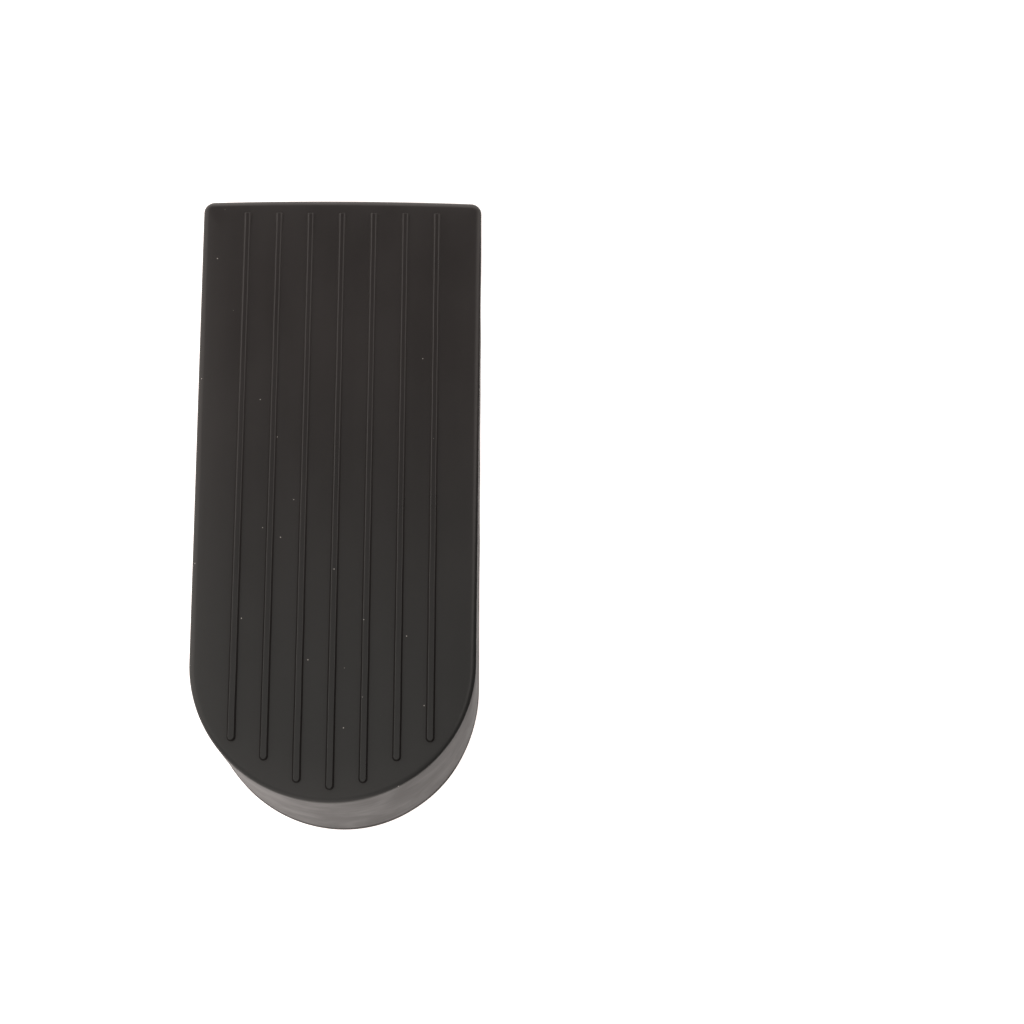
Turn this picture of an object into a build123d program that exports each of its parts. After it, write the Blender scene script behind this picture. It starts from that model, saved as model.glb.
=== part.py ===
from build123d import *
import math
import os

# A moulded rubber door wedge, in millimetres.
#   +X  across the wedge
#   +Y  from the thick round end to the thin square end
#   +Z  up, with the floor at Z = 0
# The origin is the middle of the footprint, on the floor.
#
# Every level of the wedge has the same outline: two long sides, half an ellipse round the
# thick end, and a slightly bowed edge with small round corners across the thin end. The
# ribbed face has it on a slope, the foot has it level and reaching further out, and the
# walls are ruled straight from one to the other.

# ---- driving dimensions ------------------------------------------------------------------
LENGTH = 120.65             # thin edge to the foot of the round wall
HEIGHT = 31.75              # floor to the ribbed face, above its front edge
TIP_HEIGHT = 3.6            # floor to the ribbed face, at the thin edge

FACE_LENGTH = 109.0         # ribbed face from thin edge to front edge, seen from above
FACE_HALF_WIDTH = 25.95     # ribbed face, at the round end
FACE_TIP_HALF_WIDTH = 26.25 # ribbed face, at the thin edge
FACE_ROUND_DEPTH = 24.3     # how far the round end of the ribbed face runs, seen from above

FOOT_HALF_WIDTH = 26.1
FOOT_TIP_HALF_WIDTH = 26.2
FOOT_ROUND_DEPTH = 27.2

TIP_BOW = 0.45              # how far the thin edge bows out at its middle
TIP_CORNER_RADIUS = 2.0

DECK_THICKNESS = 1.7        # tread deck, square to the ribbed face
RIM_RADIUS = 1.1            # rounded-over upper edge of the deck
SOLE_THICKNESS = 1.2
SOLE_INSET = 0.3            # the sole stands back under the body's edge

RIB_COUNT = 7
RIB_PITCH = 5.95
RIB_WIDTH = 1.5
RIB_HEIGHT = 0.6
RIB_EDGE_RADIUS = 0.35
RIB_END_GAP = 2.3           # thin edge to the square end of every rib
RIB_START_GAPS = (2.1, 3.3, 7.1, 10.4)  # front edge to the round end: middle rib, then outwards

GROOVE_COUNT = 16
GROOVE_PITCH = 6.5
GROOVE_WIDTH = 1.5
GROOVE_DEPTH = 0.4
GROOVE_EDGE_GAP = 5.0       # plain border left round the grooves

# ---- worked out from them ----------------------------------------------------------------
TIP_Y = LENGTH / 2
FOOT_FRONT_Y = -LENGTH / 2
SLOPE = math.atan((HEIGHT - TIP_HEIGHT) / FACE_LENGTH)
ALONG_SLOPE = 1 / math.cos(SLOPE)  # turns a length seen from above into one on the ribbed face

# The ribbed face: its own Y is 0 at the thin edge and negative towards the thick end.
FACE = Plane(
    origin=(0, TIP_Y, TIP_HEIGHT),
    x_dir=(1, 0, 0),
    z_dir=(0, math.sin(SLOPE), math.cos(SLOPE)),
)
FOOT = Plane(origin=(0, TIP_Y, SOLE_THICKNESS), x_dir=(1, 0, 0), z_dir=(0, 0, 1))


def outline(half_width, tip_half_width, length, round_depth):
    """The wedge's outline as a flat face, with the middle of its thin edge at the origin."""
    spring_y = round_depth - length
    tip_corner = (tip_half_width, -TIP_BOW)
    thin_edge = ThreePointArc((-tip_half_width, -TIP_BOW), (0, 0), tip_corner)
    right = Line(tip_corner, (half_width, spring_y))
    left = Line((-half_width, spring_y), (-tip_half_width, -TIP_BOW))
    round_end = EllipticalCenterArc(
        (0, spring_y), half_width, round_depth, start_angle=180, arc_size=180
    )
    face = make_face([thin_edge, right, round_end, left])
    tip_corners = face.vertices().sort_by(Axis.Y)[-2:]
    return fillet(tip_corners, TIP_CORNER_RADIUS)


def foot_outline(inset=0.0):
    return outline(
        FOOT_HALF_WIDTH - inset,
        FOOT_TIP_HALF_WIDTH - inset,
        LENGTH - 2 * inset,
        FOOT_ROUND_DEPTH - inset,
    )


def face_outline():
    return outline(
        FACE_HALF_WIDTH,
        FACE_TIP_HALF_WIDTH,
        FACE_LENGTH * ALONG_SLOPE,
        FACE_ROUND_DEPTH * ALONG_SLOPE,
    )


def moulding():
    """The whole wedge above its sole, with the rim of the ribbed face rounded over."""
    block = loft([FOOT * foot_outline(), FACE * face_outline()], ruled=True)
    ribbed_face = block.faces().sort_by(Axis.Z)[-1]
    return fillet(ribbed_face.edges(), RIM_RADIUS)


def tread_deck(block):
    """The layer that carries the ribs and the rounded rim."""
    return split(block, bisect_by=FACE.offset(-DECK_THICKNESS), keep=Keep.TOP)


def wedge_body(block):
    """The thick rubber between the deck and the sole, with the outer walls."""
    return split(block, bisect_by=FACE.offset(-DECK_THICKNESS), keep=Keep.BOTTOM)


def floor_sole():
    """The grip layer on the floor, with blind cross grooves in its underside."""
    sole_edge = Plane(origin=(0, TIP_Y - SOLE_INSET, 0))
    sole = extrude(sole_edge * foot_outline(SOLE_INSET), SOLE_THICKNESS)
    first_y = -(GROOVE_COUNT - 1) / 2 * GROOVE_PITCH
    for i in range(GROOVE_COUNT):
        y = first_y + i * GROOVE_PITCH
        half_length = sole_half_width(y) - GROOVE_EDGE_GAP
        groove = SlotOverall(2 * half_length, GROOVE_WIDTH)
        sole -= extrude(Pos(0, y, 0) * groove, GROOVE_DEPTH)
    return sole


def sole_half_width(y):
    """Half the foot's width at a distance y along the wedge."""
    spring_y = FOOT_FRONT_Y + FOOT_ROUND_DEPTH
    if y >= spring_y:
        return FOOT_HALF_WIDTH
    into_round = (spring_y - y) / FOOT_ROUND_DEPTH
    return FOOT_HALF_WIDTH * math.sqrt(1 - into_round**2)


def grip_rib(number):
    """One raised bead, counted from the left: round at the thick end, square at the thin one."""
    from_middle = number - (RIB_COUNT + 1) // 2
    start_gap = RIB_START_GAPS[abs(from_middle)]
    start_y = (start_gap - FACE_LENGTH) * ALONG_SLOPE + RIB_WIDTH / 2
    end_y = -RIB_END_GAP * ALONG_SLOPE
    half = RIB_WIDTH / 2
    foot = make_face(
        [
            Line((half, start_y), (half, end_y)),
            Line((half, end_y), (-half, end_y)),
            Line((-half, end_y), (-half, start_y)),
            ThreePointArc((-half, start_y), (0, start_y - half), (half, start_y)),
        ]
    )
    bead = extrude(foot, RIB_HEIGHT)
    crest = bead.faces().sort_by(Axis.Z)[-1]
    bead = fillet(crest.edges(), RIB_EDGE_RADIUS)
    return FACE * Pos(from_middle * RIB_PITCH, 0, 0) * bead


def all_nodes():
    block = moulding()
    nodes = {
        "tread_deck": tread_deck(block),
        "wedge_body": wedge_body(block),
        "floor_sole": floor_sole(),
    }
    for number in range(1, RIB_COUNT + 1):
        nodes[f"grip_rib_{number}"] = grip_rib(number)
    return nodes


os.makedirs("parts", exist_ok=True)
for name, shape in all_nodes().items():
    export_step(shape, f"parts/{name}.step")
    print(f"{name}: {shape.volume:.1f} mm3")
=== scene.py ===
import math

import bpy
from mathutils import Euler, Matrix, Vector, noise


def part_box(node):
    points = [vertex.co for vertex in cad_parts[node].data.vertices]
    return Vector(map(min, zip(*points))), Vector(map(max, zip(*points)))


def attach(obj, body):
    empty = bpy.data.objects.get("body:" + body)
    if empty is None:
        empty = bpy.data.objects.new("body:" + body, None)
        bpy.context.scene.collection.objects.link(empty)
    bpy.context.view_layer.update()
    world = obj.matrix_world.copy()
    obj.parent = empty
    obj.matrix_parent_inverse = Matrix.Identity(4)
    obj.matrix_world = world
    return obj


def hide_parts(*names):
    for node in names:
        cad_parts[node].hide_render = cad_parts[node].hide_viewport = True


# A moulded rubber door wedge, in metres, in the row's frame: +X across, +Y from the thick
# round end to the thin square end, +Z up from the floor.
#
# Each level of the wedge has one outline: a bowed thin edge, two small corners, two long
# sides and half an ellipse round the thick end. The pieces here are built from rings of
# points that all follow that outline, so the deck, the body and the rim meet exactly.

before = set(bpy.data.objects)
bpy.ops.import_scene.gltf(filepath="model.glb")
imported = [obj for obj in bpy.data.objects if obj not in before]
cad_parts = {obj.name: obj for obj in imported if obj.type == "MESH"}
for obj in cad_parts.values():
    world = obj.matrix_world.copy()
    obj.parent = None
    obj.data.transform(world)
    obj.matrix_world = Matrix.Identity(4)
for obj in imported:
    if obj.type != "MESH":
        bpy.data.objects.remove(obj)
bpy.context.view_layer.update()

MM = 0.001

# ---- sizes -------------------------------------------------------------------------------
body_low, body_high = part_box("wedge_body")

LENGTH = body_high.y - body_low.y
TIP_Y = body_high.y
FOOT_Z = body_low.z
HEIGHT = 31.75 * MM
TIP_HEIGHT = 3.6 * MM

FACE_LENGTH = 109.0 * MM
FACE_HALF_WIDTH = 25.95 * MM
FACE_TIP_HALF_WIDTH = 26.25 * MM
FACE_ROUND_DEPTH = 24.3 * MM

FOOT_HALF_WIDTH = 26.1 * MM
FOOT_TIP_HALF_WIDTH = 26.2 * MM
FOOT_ROUND_DEPTH = 27.2 * MM

TIP_BOW = 0.45 * MM
TIP_CORNER_RADIUS = 2.0 * MM

DECK_THICKNESS = 1.7 * MM
CROWN_WIDTH = 6.5 * MM         # the face sinks a little over this distance from the rim
CROWN_DROP = 0.29 * MM
CROWN_CORNER_RADIUS = 1.0 * MM
CROWN_CORNER_GROWTH = 0.6      # what that radius gains for each unit in from the rim
RIM_RADIUS = 1.55 * MM
RIM_START = math.atan(2 * CROWN_DROP / CROWN_WIDTH)
RIM_SWEEP = math.radians(52)   # the rim turns this far and then meets the wall in a corner
RIM_WIDTH = RIM_RADIUS * (math.sin(RIM_SWEEP) - math.sin(RIM_START))
FOOT_LIP_WIDTH = 0.12 * MM     # the flash that the mould leaves round the foot
FOOT_LIP_HEIGHT = 0.30 * MM
FOOT_LIP_EDGE = 0.45           # share of the lip's height up to which it is at its widest
FOOT_LIP_WAVER = 0.08 * MM
FOOT_LIP_WAVE_LENGTH = 9 * MM

RIB_COUNT = 7
RIB_PITCH = 5.95 * MM
RIB_HALF_WIDTH = 0.78 * MM
# A rib's section: half width of the foot, half width of the top, height, shoulder radius.
RIB_TALL = (RIB_HALF_WIDTH, 0.50 * MM, 0.60 * MM, 0.10 * MM)  # at the round end
RIB_LOW = (0.70 * MM, 0.36 * MM, 0.34 * MM, 0.42 * MM)        # at the square end
RIB_WAVER = 0.035 * MM         # how far it strays from straight
RIB_WAVE_LENGTH = 7 * MM
RIB_FOOT_FILLET = 0.05 * MM
RIB_BURIED = 0.30 * MM
RIB_SQUARE_CORNER = 0.25 * MM
RIB_END_LEAN = 0.3             # the square end leans in by this share of what the sides do
RIB_END_GAP = 2.3 * MM
RIB_START_GAPS = [2.1 * MM, 3.3 * MM, 7.1 * MM, 10.4 * MM]  # middle rib, then outwards

SLOPE = math.atan((HEIGHT - TIP_HEIGHT) / FACE_LENGTH)
ALONG_SLOPE = 1 / math.cos(SLOPE)
FACE_NORMAL = Vector((0, math.sin(SLOPE), math.cos(SLOPE)))
FACE_UPHILL = Vector((0, -math.cos(SLOPE), math.sin(SLOPE)))  # towards the thick end


# ---- outlines ----------------------------------------------------------------------------
THIN_EDGE_POINTS = 17   # odd, so that one lies in the middle
CORNER_POINTS = 9
SIDE_POINTS = 70
ROUND_POINTS = 181      # odd, for the same reason


def corner_arc(before, corner, after, radius, count):
    """Points round a corner, tangent to the lines that meet in it."""
    to_before = (before - corner).normalized()
    to_after = (after - corner).normalized()
    half_angle = to_before.angle(to_after) / 2
    middle = (to_before + to_after).normalized()
    centre = corner + middle * (radius / math.sin(half_angle))
    first = corner + to_before * (radius / math.tan(half_angle)) - centre
    last = corner + to_after * (radius / math.tan(half_angle)) - centre
    turn = first.angle(last)
    points = []
    for i in range(count):
        t = i / (count - 1)
        blend = (first * math.sin((1 - t) * turn) + last * math.sin(t * turn)) / math.sin(turn)
        points.append(centre + blend)
    return points


def outline(half_width, tip_half_width, length, round_depth, corner_radius=TIP_CORNER_RADIUS):
    """Points anticlockwise from the middle of the thin edge, which is at the origin.

    The order is: half the thin edge, a corner, a side, the round end, and then the mirror
    image of the first three.
    """
    spring_y = round_depth - length
    corner = Vector((-tip_half_width, -TIP_BOW, 0))
    spring = Vector((-half_width, spring_y, 0))
    bow_tangent = Vector((0, TIP_BOW, 0))  # where the bow's tangent at the corner meets X = 0
    round_corner = corner_arc(bow_tangent, corner, spring, corner_radius, CORNER_POINTS)

    half_edge = THIN_EDGE_POINTS // 2
    edge_end = round_corner[0]
    left = []
    for i in range(half_edge):
        x = edge_end.x * i / half_edge
        left.append(Vector((x, edge_end.y * (x / edge_end.x) ** 2, 0)))
    left += round_corner
    for i in range(1, SIDE_POINTS):
        left.append(round_corner[-1].lerp(spring, i / SIDE_POINTS))

    round_end = []
    for i in range(ROUND_POINTS):
        angle = math.pi * i / (ROUND_POINTS - 1)
        x = -half_width * math.cos(angle)
        y = spring_y - round_depth * math.sin(angle)
        round_end.append(Vector((x, y, 0)))
    right = [Vector((-p.x, p.y, 0)) for p in reversed(left[1:])]
    return left + round_end + right


def outward_normals(points):
    """Flat unit normals of a closed anticlockwise outline."""
    normals = []
    for i, point in enumerate(points):
        along = points[(i + 1) % len(points)] - points[i - 1]
        normals.append(Vector((along.y, -along.x, 0)).normalized())
    return normals


def on_face(point, lift=0.0):
    """Puts a point of the ribbed face's own flat frame in its place on the slope."""
    tip = Vector((0, TIP_Y, TIP_HEIGHT))
    return tip + Vector((point.x, 0, 0)) - FACE_UPHILL * point.y + FACE_NORMAL * lift


def on_foot(point):
    return Vector((point.x, TIP_Y + point.y, FOOT_Z))


FACE_OUTLINE = outline(
    FACE_HALF_WIDTH,
    FACE_TIP_HALF_WIDTH,
    FACE_LENGTH * ALONG_SLOPE,
    FACE_ROUND_DEPTH * ALONG_SLOPE,
)
FOOT_OUTLINE = outline(FOOT_HALF_WIDTH, FOOT_TIP_HALF_WIDTH, LENGTH, FOOT_ROUND_DEPTH)
FACE_EDGE = [on_face(p) for p in FACE_OUTLINE]
FOOT_EDGE = [on_foot(p) for p in FOOT_OUTLINE]
DOWN_WALL = [(foot - top).normalized() for top, foot in zip(FACE_EDGE, FOOT_EDGE)]
INTO_FACE = [on_face(-n) - on_face(Vector()) for n in outward_normals(FACE_OUTLINE)]


# ---- meshes from rings -------------------------------------------------------------------
def ladder(ring, columns):
    """Fills a ring that is the same left and right with rows of quads.

    The ring starts at the middle of the thin edge. Returns extra points, and faces whose
    numbers under len(ring) are the ring's and the rest the extra points'.
    """
    count = len(ring)
    rows = count // 2
    extra = []
    grid = [[0] * (columns + 1)]
    for row in range(1, rows):
        left, right = row, count - row
        line = [left]
        for c in range(1, columns):
            line.append(count + len(extra))
            extra.append(ring[left].lerp(ring[right], c / columns))
        line.append(right)
        grid.append(line)
    grid.append([rows] * (columns + 1))
    faces = []
    for above, below in zip(grid, grid[1:]):
        for c in range(columns):
            corners = [above[c], below[c], below[c + 1], above[c + 1]]
            faces.append(list(dict.fromkeys(corners)))  # a triangle in the first and last row
    return extra, faces


class RingMesh:
    """A closed mesh built from rings of the same length, with a cap at each end."""

    def __init__(self):
        self.points = []
        self.faces = []
        self.materials = []
        self.last_ring = None

    def add_ring(self, ring, material=0):
        start = len(self.points)
        self.points += ring
        above = self.last_ring
        if above is not None:
            count = len(ring)
            for i in range(count):
                j = (i + 1) % count
                self.faces.append([above + i, start + i, start + j, above + j])
                self.materials.append(material)
        self.last_ring = start
        return start

    def cap(self, start, count, columns, upwards, material=0):
        ring = self.points[start:start + count]
        extra, faces = ladder(ring, columns)
        shift = len(self.points) - count
        self.points += extra
        for face in faces:
            numbers = [start + i if i < count else shift + i for i in face]
            self.faces.append(numbers if upwards else numbers[::-1])
            self.materials.append(material)

    def make(self, name, materials, sharp_angle=math.radians(50)):
        mesh = bpy.data.meshes.new(name)
        mesh.from_pydata([tuple(p) for p in self.points], [], self.faces)
        mesh.polygons.foreach_set("material_index", self.materials)
        for material in materials:
            mesh.materials.append(material)
        mesh.shade_smooth()
        mesh.set_sharp_from_angle(angle=sharp_angle)
        mesh.validate()
        piece = bpy.data.objects.new(name, mesh)
        bpy.context.scene.collection.objects.link(piece)
        return piece


# ---- materials ---------------------------------------------------------------------------
NOISE_LOW = 0.3          # most of a noise texture's values lie between these two
NOISE_HIGH = 0.7
SPECK_CORE = 0.6         # share of its radius within which a speck is at full strength


class Nodes:
    """A short way to add and join shader nodes."""

    def __init__(self, name):
        self.material = bpy.data.materials.new(name)
        self.material.use_nodes = True
        self.tree = self.material.node_tree
        self.shader = self.tree.nodes["Principled BSDF"]
        self.place = self.add("ShaderNodeTexCoord").outputs["Object"]

    def add(self, kind, **settings):
        node = self.tree.nodes.new(kind)
        for key, value in settings.items():
            setattr(node, key, value)
        return node

    def link(self, source, target):
        self.tree.links.new(source, target)

    def stretched(self, scale):
        """The point's place, with each axis scaled."""
        mapping = self.add("ShaderNodeMapping")
        mapping.inputs["Scale"].default_value = scale
        self.link(self.place, mapping.inputs["Vector"])
        return mapping.outputs["Vector"]

    def coordinate(self, axis):
        """The point's place along one axis, in metres."""
        split = self.add("ShaderNodeSeparateXYZ")
        self.link(self.place, split.inputs["Vector"])
        return split.outputs[axis]

    def noise(self, scale, detail=3.0, roughness=0.5, distortion=0.0):
        """Cloudy noise from 0 to 1, with `scale` cells per metre along X, Y and Z."""
        node = self.add("ShaderNodeTexNoise")
        node.inputs["Scale"].default_value = 1.0
        node.inputs["Detail"].default_value = detail
        node.inputs["Roughness"].default_value = roughness
        node.inputs["Distortion"].default_value = distortion
        self.link(self.stretched(scale), node.inputs["Vector"])
        return node.outputs["Fac"]

    def ramp(self, value, low, high, to_low=0.0, to_high=1.0):
        """Maps low..high to to_low..to_high, smoothly, and clamps it."""
        node = self.add("ShaderNodeMapRange", interpolation_type="SMOOTHSTEP")
        node.inputs["From Min"].default_value = low
        node.inputs["From Max"].default_value = high
        node.inputs["To Min"].default_value = to_low
        node.inputs["To Max"].default_value = to_high
        self.link(value, node.inputs["Value"])
        return node.outputs["Result"]

    def spread(self, value, to_low=0.0, to_high=1.0):
        """Maps the range that a noise mostly stays in to to_low..to_high."""
        return self.ramp(value, NOISE_LOW, NOISE_HIGH, to_low, to_high)

    def math(self, operation, a, b):
        """An operation such as "ADD" on a and b, each a socket or a number."""
        node = self.add("ShaderNodeMath", operation=operation)
        for socket, value in zip(node.inputs, (a, b)):
            if isinstance(value, (int, float)):
                socket.default_value = value
            else:
                self.link(value, socket)
        return node.outputs["Value"]

    def mix(self, factor, a, b):
        """Mixes two colours, each a socket or an (r, g, b)."""
        node = self.add("ShaderNodeMix", data_type="RGBA")
        self.link(factor, node.inputs["Factor"])
        for socket, value in ((node.inputs[6], a), (node.inputs[7], b)):
            if isinstance(value, tuple):
                socket.default_value = (*value, 1.0)
            else:
                self.link(value, socket)
        return node.outputs[2]

    def specks(self, cells_per_metre, radius, share):
        """1 inside small dots, 0 elsewhere; `share` of the cells hold a dot."""
        node = self.add("ShaderNodeTexVoronoi")
        node.inputs["Scale"].default_value = cells_per_metre
        self.link(self.place, node.inputs["Vector"])
        near = self.ramp(node.outputs["Distance"], radius, radius * SPECK_CORE)
        pick = self.add("ShaderNodeSeparateColor")
        self.link(node.outputs["Color"], pick.inputs["Color"])
        chosen = self.math("LESS_THAN", pick.outputs["Red"], share)
        return self.math("MULTIPLY", near, chosen)

    def bump(self, heights):
        """Chains (height socket, depth in metres) pairs into the shader's normal."""
        normal = None
        for height, depth in heights:
            node = self.add("ShaderNodeBump")
            node.inputs["Strength"].default_value = 1.0
            node.inputs["Distance"].default_value = depth
            self.link(height, node.inputs["Height"])
            if normal is not None:
                self.link(normal, node.inputs["Normal"])
            normal = node.outputs["Normal"]
        self.link(normal, self.shader.inputs["Normal"])


RUBBER_DARK = (0.0088, 0.0064, 0.0062)
RUBBER_LIGHT = (0.0116, 0.0089, 0.0086)
RUBBER_WORN = (0.0142, 0.0152, 0.0148)   # greyer, towards the thick end
RUBBER_SCUFFED = (0.045, 0.040, 0.037)
# The ribs' steep sides: painted shade for the creases beside the ribs, deep towards the thick end
# and lighter towards the thin end.
RIB_SIDE_DEEP_SHADE = (0.0100, 0.0088, 0.0082)
RIB_SIDE_FAINT_SHADE = (0.0240, 0.0210, 0.0200)
SOLE_DARK = (0.008, 0.007, 0.006)
SOLE_LIGHT = (0.016, 0.014, 0.012)
DUST = (0.42, 0.39, 0.36)
WARM_SHEEN = (1.0, 0.96, 0.93, 1.0)
RUBBER_IOR = 1.50

CLEAN_Y = 45 * MM        # the face wears and gathers dust from here
WORN_Y = -45 * MM        # to here
RIB_FAINT_SHADE_Y = 40 * MM    # the painted shade on the ribs' sides deepens from here to here
RIB_DEEP_SHADE_Y = -35 * MM   # to here

FACE_GRAIN = (5200, 5200, 5200)  # cells per metre along X, Y and Z
FACE_GRAIN_DEPTH = 0.005 * MM
WALL_GRAIN = (4200, 4200, 4200)
WALL_GRAIN_DEPTH = 0.003 * MM
SOLE_GRAIN = (2500, 2500, 2500)
SOLE_GRAIN_DEPTH = 0.03 * MM


def face_rubber(name, smoothest, roughest):
    """Matte moulded rubber of the ribbed face: fine grain, faint long bands and dust."""
    n = Nodes(name)
    cloud = n.noise((90, 45, 90), detail=4)
    bands = n.noise((500, 12, 60), detail=2)
    tone = n.math("ADD", n.math("MULTIPLY", cloud, 0.6), n.math("MULTIPLY", bands, 0.4))
    colour = n.mix(n.spread(tone), RUBBER_DARK, RUBBER_LIGHT)
    along = n.coordinate("Y")
    colour = n.mix(n.ramp(along, CLEAN_Y, WORN_Y), colour, RUBBER_WORN)
    dust_share = n.ramp(along, CLEAN_Y, WORN_Y, 0.020, 0.070)
    dust = n.specks(cells_per_metre=900, radius=0.11, share=dust_share)
    n.link(n.mix(dust, colour, DUST), n.shader.inputs["Base Color"])
    n.link(n.spread(cloud, smoothest, roughest), n.shader.inputs["Roughness"])
    grain = n.noise(FACE_GRAIN, detail=2)
    n.bump([(grain, FACE_GRAIN_DEPTH), (bands, FACE_GRAIN_DEPTH)])
    n.shader.inputs["IOR"].default_value = RUBBER_IOR
    n.shader.inputs["Specular Tint"].default_value = WARM_SHEEN
    return n.material


def rib_side_shaded_rubber():
    """The steep sides of the ribs, dull, with painted shade that is deepest towards the thick
    end.
    """
    n = Nodes("rib_side_shaded_rubber")
    cloud = n.noise((400, 60, 400), detail=3)
    # painted shade: the sides darken from the thin end to the thick end
    shade_fade = n.ramp(n.coordinate("Y"), RIB_DEEP_SHADE_Y, RIB_FAINT_SHADE_Y)
    colour = n.mix(shade_fade, RIB_SIDE_DEEP_SHADE, RIB_SIDE_FAINT_SHADE)
    n.link(colour, n.shader.inputs["Base Color"])
    n.link(n.spread(cloud, 0.60, 0.50), n.shader.inputs["Roughness"])
    n.bump([(n.noise(FACE_GRAIN, detail=2), FACE_GRAIN_DEPTH)])
    n.shader.inputs["IOR"].default_value = RUBBER_IOR
    # a weak reflection, as part of the painted shade
    n.shader.inputs["Specular IOR Level"].default_value = 0.18
    n.shader.inputs["Specular Tint"].default_value = WARM_SHEEN
    return n.material


def wall_rubber():
    """Satin moulded wall with faint level streaks and uneven pale smears."""
    n = Nodes("wall_rubber")
    streaks = n.noise((60, 60, 700), detail=4, roughness=0.6, distortion=1.0)
    smears = n.noise((120, 120, 110), detail=3, roughness=0.55, distortion=0.4)
    colour = n.mix(n.ramp(streaks, 0.35, 0.7), RUBBER_DARK, RUBBER_LIGHT)
    scuffed = n.ramp(smears, 0.50, 0.75, 0.0, 0.25)
    n.link(n.mix(scuffed, colour, RUBBER_SCUFFED), n.shader.inputs["Base Color"])
    sheen = n.math("ADD", n.math("MULTIPLY", smears, 0.7), n.math("MULTIPLY", streaks, 0.3))
    n.link(n.spread(sheen, 0.50, 0.62), n.shader.inputs["Roughness"])
    grain = n.noise(WALL_GRAIN, detail=2)
    n.bump([(grain, WALL_GRAIN_DEPTH), (streaks, 0.001 * MM), (smears, 0.008 * MM)])
    n.shader.inputs["IOR"].default_value = RUBBER_IOR
    n.shader.inputs["Specular Tint"].default_value = WARM_SHEEN
    return n.material


def sole_rubber():
    """Darker grip layer with a coarse matte grain."""
    n = Nodes("sole_rubber")
    cloud = n.noise((300, 300, 300), detail=4)
    n.link(n.mix(cloud, SOLE_DARK, SOLE_LIGHT), n.shader.inputs["Base Color"])
    n.link(n.spread(cloud, 0.65, 0.8), n.shader.inputs["Roughness"])
    n.bump([(n.noise(SOLE_GRAIN, detail=3), SOLE_GRAIN_DEPTH)])
    return n.material


# ---- pieces ------------------------------------------------------------------------------
FILL_COLUMNS = 24
RIM_POINTS = 9
CROWN_RINGS = 8
WALL_RINGS = 24


def deck_bottom_ring():
    """Where the deck's underside meets the wall."""
    ring = []
    for corner, down in zip(FACE_EDGE, DOWN_WALL):
        ring.append(corner + down * (DECK_THICKNESS / -down.dot(FACE_NORMAL)))
    return ring


def crown_ring(distance):
    """The face's outline at this distance in from its edge, on the slightly domed face."""
    past_rim = distance - RIM_WIDTH
    ring = outline(
        FACE_HALF_WIDTH - distance,
        FACE_TIP_HALF_WIDTH - distance,
        FACE_LENGTH * ALONG_SLOPE - 2 * distance,
        FACE_ROUND_DEPTH * ALONG_SLOPE - distance,
        corner_radius=CROWN_CORNER_RADIUS + past_rim * CROWN_CORNER_GROWTH,
    )
    lift = -CROWN_DROP * (1 - past_rim / CROWN_WIDTH) ** 2
    return [on_face(p - Vector((0, distance, 0)), lift) for p in ring]


def rim_arc(corner, into, down):
    """From the face over the rounded rim to the corner where the wall starts."""
    drop = CROWN_DROP + RIM_RADIUS * (math.cos(RIM_START) - math.cos(RIM_SWEEP))
    wall_start = corner + down * (drop / -down.dot(FACE_NORMAL))
    points = []
    for k in range(RIM_POINTS):
        turn = RIM_START + (RIM_SWEEP - RIM_START) * k / (RIM_POINTS - 1)
        inwards = RIM_RADIUS * (math.sin(RIM_SWEEP) - math.sin(turn))
        up = RIM_RADIUS * (math.cos(turn) - math.cos(RIM_SWEEP))
        points.append(wall_start + into * inwards + FACE_NORMAL * up)
    return points


def make_deck(face_material, wall_material):
    rim = [rim_arc(*place) for place in zip(FACE_EDGE, INTO_FACE, DOWN_WALL)]
    shell = RingMesh()
    count = len(FACE_EDGE)
    inner = shell.add_ring(crown_ring(RIM_WIDTH + CROWN_WIDTH))
    for k in range(CROWN_RINGS - 1, 0, -1):
        shell.add_ring(crown_ring(RIM_WIDTH + CROWN_WIDTH * k / CROWN_RINGS))
    for k in range(RIM_POINTS):
        shell.add_ring([arc[k] for arc in rim])
    bottom = shell.add_ring(deck_bottom_ring(), material=1)
    shell.cap(inner, count, FILL_COLUMNS, upwards=True)
    shell.cap(bottom, count, FILL_COLUMNS, upwards=False, material=1)
    return shell.make("tread_deck_skin", [face_material, wall_material])


def foot_rings():
    """The wall's foot: in over a small uneven lip of flash, out to its edge and under."""
    outward = outward_normals(FOOT_OUTLINE)
    wall_end, lip_top, lip_edge, under = [], [], [], []
    for foot, down, out in zip(FOOT_EDGE, DOWN_WALL, outward):
        waver = noise.noise(foot / FOOT_LIP_WAVE_LENGTH) * FOOT_LIP_WAVER
        edge = foot + out * waver
        wall = foot - out * FOOT_LIP_WIDTH
        wall_end.append(wall - down * (FOOT_LIP_HEIGHT / -down.z))
        lip_top.append(edge + Vector((0, 0, FOOT_LIP_HEIGHT * FOOT_LIP_EDGE)))
        lip_edge.append(edge)
        under.append(wall)
    return wall_end, [lip_top, lip_edge, under]


def make_body(wall_material):
    top = deck_bottom_ring()
    wall_end, lip = foot_rings()
    shell = RingMesh()
    count = len(top)
    first = shell.add_ring(top)
    for k in range(1, WALL_RINGS + 1):
        t = k / WALL_RINGS
        shell.add_ring([a.lerp(b, t) for a, b in zip(top, wall_end)])
    for ring in lip:
        last = shell.add_ring(ring)
    shell.cap(first, count, FILL_COLUMNS, upwards=True)
    shell.cap(last, count, FILL_COLUMNS, upwards=False)
    return shell.make("wedge_body_skin", [wall_material])


RIB_ROUND_POINTS = 25
RIB_SIDE_POINTS = 40
RIB_CORNER_POINTS = 4
RIB_FILLET_POINTS = 4
RIB_SHOULDER_POINTS = 7
RIB_COLUMNS = 4


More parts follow.
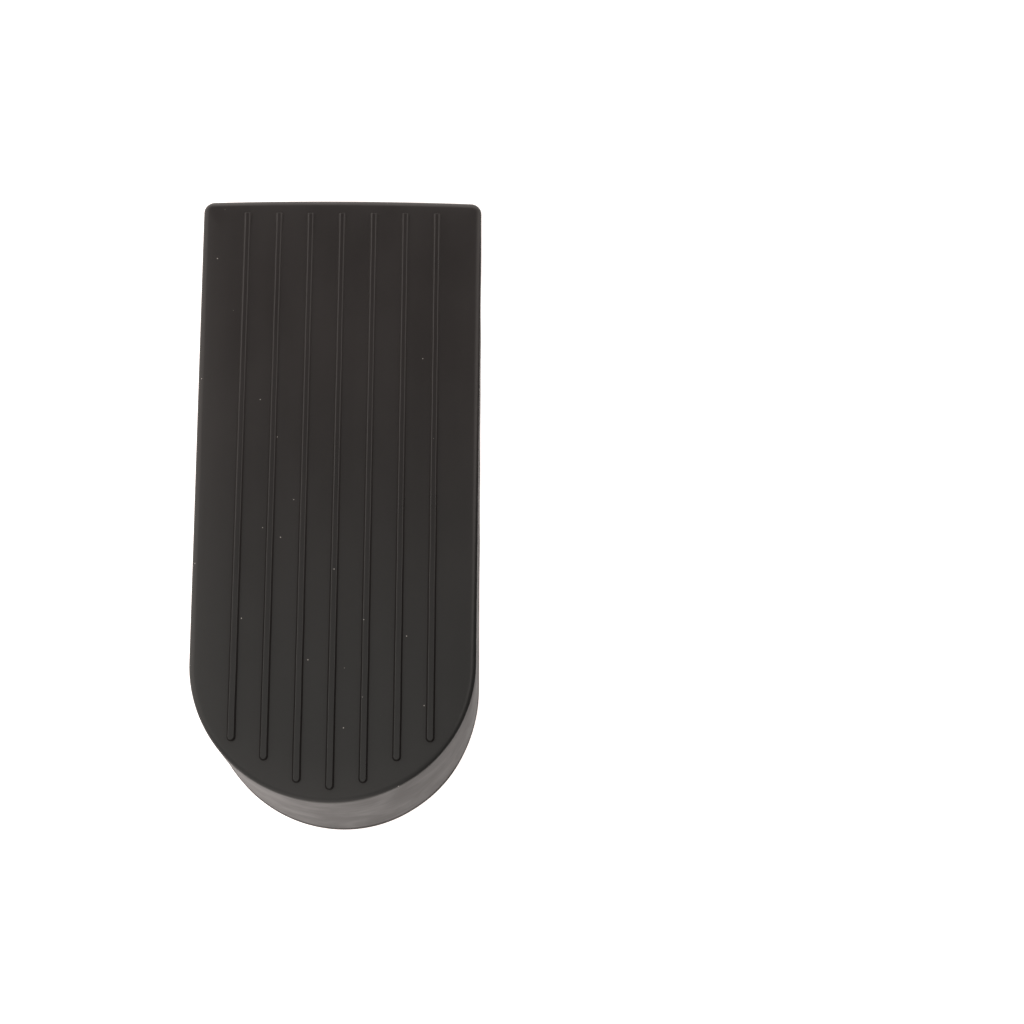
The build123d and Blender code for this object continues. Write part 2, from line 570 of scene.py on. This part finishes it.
def rib_profile(foot_half, top_half, height, shoulder):
    """(half width, height) pairs from the top's edge down to the buried skirt."""
    top_middle = Vector((0, height, 0))
    top_corner = Vector((top_half, height, 0))
    foot_corner = Vector((foot_half, 0, 0))
    on_the_face = Vector((foot_half * 2, 0, 0))
    points = corner_arc(top_middle, top_corner, foot_corner, shoulder, RIB_SHOULDER_POINTS)
    points += corner_arc(top_corner, foot_corner, on_the_face, RIB_FOOT_FILLET, RIB_FILLET_POINTS)
    points.append(points[-1] - Vector((0, RIB_BURIED, 0)))
    return [(p.x, p.y) for p in points]


def rib_ring(start_y, end_y, tall, low):
    """One ring of a rib in the face's own flat frame, square at end_y and round at start_y.

    tall and low are the ring's (half width, height) at start_y and at end_y. The ring
    runs anticlockwise from the middle of the square end. Returns (point, height) pairs.
    """
    half, height = low
    end = end_y + (half - RIB_HALF_WIDTH) * RIB_END_LEAN
    radius = RIB_SQUARE_CORNER * half / RIB_HALF_WIDTH
    corner_y = end - radius
    left = [(Vector((0, end, 0)), height)]
    for i in range(RIB_CORNER_POINTS):
        angle = math.pi / 2 * i / (RIB_CORNER_POINTS - 1)
        x = -half + radius * (1 - math.sin(angle))
        y = end - radius * (1 - math.cos(angle))
        left.append((Vector((x, y, 0)), height))
    for i in range(1, RIB_SIDE_POINTS):
        t = i / RIB_SIDE_POINTS
        x = -(half + (tall[0] - half) * t)
        point = Vector((x, corner_y + (start_y - corner_y) * t, 0))
        left.append((point, height + (tall[1] - height) * t))
    half, height = tall
    round_end = []
    for i in range(RIB_ROUND_POINTS):
        angle = math.pi * i / (RIB_ROUND_POINTS - 1)
        point = Vector((-half * math.cos(angle), start_y - half * math.sin(angle), 0))
        round_end.append((point, height))
    right = [(Vector((-p.x, p.y, 0)), lift) for p, lift in reversed(left[1:])]
    return left + round_end + right


def rib_waver(point):
    """How far a rib strays sideways here, because the ribs are not quite straight."""
    return Vector((noise.noise(point / RIB_WAVE_LENGTH) * RIB_WAVER, 0, 0))


def make_rib(number, top_material, side_shade_material):
    from_middle = number - (RIB_COUNT + 1) // 2
    start_y = (RIB_START_GAPS[abs(from_middle)] - FACE_LENGTH) * ALONG_SLOPE + RIB_HALF_WIDTH
    end_y = -RIB_END_GAP * ALONG_SLOPE
    middle = Vector((from_middle * RIB_PITCH, 0, 0))
    profiles = zip(rib_profile(*RIB_TALL), rib_profile(*RIB_LOW))
    shell = RingMesh()
    for k, (tall, low) in enumerate(profiles):
        pairs = rib_ring(start_y, end_y, tall, low)
        ring = [on_face(p + middle + rib_waver(p + middle), height) for p, height in pairs]
        # the rings below the shoulder take the painted-shade material of the rib's sides
        last = shell.add_ring(ring, material=int(k >= RIB_SHOULDER_POINTS))
    count = len(pairs)
    shell.cap(0, count, RIB_COLUMNS, upwards=True)
    shell.cap(last, count, RIB_COLUMNS, upwards=False)
    return shell.make(f"grip_rib_{number}_skin", [top_material, side_shade_material])


def make_wedge():
    face_material = face_rubber("face_rubber", 0.34, 0.40)
    rib_top_material = face_rubber("rib_top_rubber", 0.27, 0.34)
    rib_side_shade_material = rib_side_shaded_rubber()
    wall_material = wall_rubber()
    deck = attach(make_deck(face_material, wall_material), "root")
    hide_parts("tread_deck")
    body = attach(make_body(wall_material), "root")
    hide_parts("wedge_body")
    for number in range(1, RIB_COUNT + 1):
        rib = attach(make_rib(number, rib_top_material, rib_side_shade_material), "root")
        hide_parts(f"grip_rib_{number}")
    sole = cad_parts["floor_sole"]
    sole.data.materials.clear()
    sole.data.materials.append(sole_rubber())


# ---- studio ------------------------------------------------------------------------------
FLOOR_SIZE = 6.0
LIGHT_COLOUR = (1.0, 0.960, 0.935)
FLOOR_COLOUR = (1.0, 0.925, 0.885)
FLOOR_GLOW_LEFT = 1.22   # the floor is a light table, so that it stays white up to the foot
FLOOR_GLOW_RIGHT = 0.76
FLOOR_GLOW_LEFT_X = -45 * MM   # it falls from the one to the other between these two places
FLOOR_GLOW_RIGHT_X = 20 * MM
SKY_STRENGTH = 1.35
SKY_BY_HEIGHT = [        # (sine of the height above the horizon, share of the strength)
    (0.00, 0.86),
    (0.30, 0.68),
    (0.65, 0.30),
    (1.00, 0.28),
]
SOFTBOX_DISTANCE = 0.75
SOFTBOXES = [            # (name, direction from the wedge, size, brightness)
    ("left_softbox", Vector((-1.0, 0.42, 0.90)), 0.62, 1.22),
    ("right_softbox", Vector((1.0, 0.42, 0.85)), 0.60, 0.98),
    ("front_softbox", Vector((-0.2, -1.0, 0.9)), 0.50, 0.55),
    ("back_softbox", Vector((0.0, 1.0, 0.12)), 0.55, 1.15),
    ("top_softbox", Vector((-0.12, -0.10, 1.0)), 0.44, 0.70),
]
CARD_X = 46 * MM         # a dark upright card to the right, seen only in reflections
CARD_TOP = [             # (Y, height), from back to front
    (60 * MM, 8 * MM),
    (38 * MM, 14 * MM),
    (5 * MM, 30 * MM),
    (-24 * MM, 48 * MM),
    (-42 * MM, 46 * MM),
    (-110 * MM, 85 * MM),
]


def make_floor():
    mesh = bpy.data.meshes.new("floor")
    half = FLOOR_SIZE / 2
    corners = [(-half, -half, 0), (half, -half, 0), (half, half, 0), (-half, half, 0)]
    mesh.from_pydata(corners, [], [(0, 1, 2, 3)])
    n = Nodes("pale_floor")
    n.shader.inputs["Base Color"].default_value = (0.90, 0.90, 0.90, 1)
    n.shader.inputs["Roughness"].default_value = 0.9
    n.shader.inputs["Specular IOR Level"].default_value = 0.2
    n.shader.inputs["Emission Color"].default_value = (*FLOOR_COLOUR, 1)
    places = (FLOOR_GLOW_LEFT_X, FLOOR_GLOW_RIGHT_X)
    strengths = (FLOOR_GLOW_LEFT, FLOOR_GLOW_RIGHT)
    glow = n.ramp(n.coordinate("X"), *places, *strengths)
    n.link(glow, n.shader.inputs["Emission Strength"])
    mesh.materials.append(n.material)
    floor = bpy.data.objects.new("floor", mesh)
    bpy.context.scene.collection.objects.link(floor)


def make_sky():
    """Soft light from all round, dim overhead and brightest at the horizon."""
    world = bpy.data.worlds.new("studio")
    bpy.context.scene.world = world
    world.use_nodes = True
    tree = world.node_tree
    background = tree.nodes["Background"]
    place = tree.nodes.new("ShaderNodeTexCoord")
    split = tree.nodes.new("ShaderNodeSeparateXYZ")
    height = tree.nodes.new("ShaderNodeValToRGB")
    strength = tree.nodes.new("ShaderNodeMath")
    strength.operation = "MULTIPLY"
    strength.inputs[1].default_value = SKY_STRENGTH
    tree.links.new(place.outputs["Generated"], split.inputs["Vector"])
    tree.links.new(split.outputs["Z"], height.inputs["Fac"])
    tree.links.new(height.outputs["Color"], strength.inputs[0])
    tree.links.new(strength.outputs["Value"], background.inputs["Strength"])
    background.inputs["Color"].default_value = (*LIGHT_COLOUR, 1)
    stops = height.color_ramp.elements
    for i, (position, value) in enumerate(SKY_BY_HEIGHT):
        stop = stops[i] if i < 2 else stops.new(position)
        stop.position = position
        stop.color = (value, value, value, 1)


def make_softboxes():
    for name, direction, size, brightness in SOFTBOXES:
        light = bpy.data.lights.new(name, "AREA")
        light.size = size
        light.color = LIGHT_COLOUR
        light.energy = brightness * math.pi * size ** 2
        lamp = bpy.data.objects.new(name, light)
        lamp.location = direction.normalized() * SOFTBOX_DISTANCE
        lamp.rotation_euler = direction.to_track_quat("Z", "Y").to_euler()
        lamp.visible_camera = False
        bpy.context.scene.collection.objects.link(lamp)


def make_dark_card():
    top = [(CARD_X, y, height) for y, height in CARD_TOP]
    bottom = [(CARD_X, y, 0) for y, _ in reversed(CARD_TOP)]
    corners = top + bottom
    mesh = bpy.data.meshes.new("dark_card")
    mesh.from_pydata(corners, [], [tuple(range(len(corners)))])
    n = Nodes("dark_card")
    n.shader.inputs["Base Color"].default_value = (*RUBBER_LIGHT, 1)
    n.shader.inputs["Roughness"].default_value = 0.8
    mesh.materials.append(n.material)
    card = bpy.data.objects.new("dark_card", mesh)
    card.visible_camera = False
    card.visible_diffuse = False
    card.visible_shadow = False
    bpy.context.scene.collection.objects.link(card)


CAMERA_AT = Vector((32.2, 24.0, 383.0)) * MM
CAMERA_TILT = -0.0589    # radians past straight down, towards the thick end
CAMERA_TURN = 0.0054
CAMERA_LENS = 70.04      # millimetres, on the 36 mm wide sensor
SENSOR_WIDTH = 36.0


def make_camera():
    data = bpy.data.cameras.new("camera")
    data.lens = CAMERA_LENS
    data.sensor_width = SENSOR_WIDTH
    data.clip_start = 0.01
    camera = bpy.data.objects.new("camera", data)
    camera.location = CAMERA_AT
    camera.rotation_euler = Euler((CAMERA_TILT, 0, CAMERA_TURN))
    bpy.context.scene.collection.objects.link(camera)
    bpy.context.scene.camera = camera


make_wedge()
make_floor()
make_sky()
make_softboxes()
make_dark_card()
make_camera()
bpy.context.scene.view_settings.view_transform = "Standard"
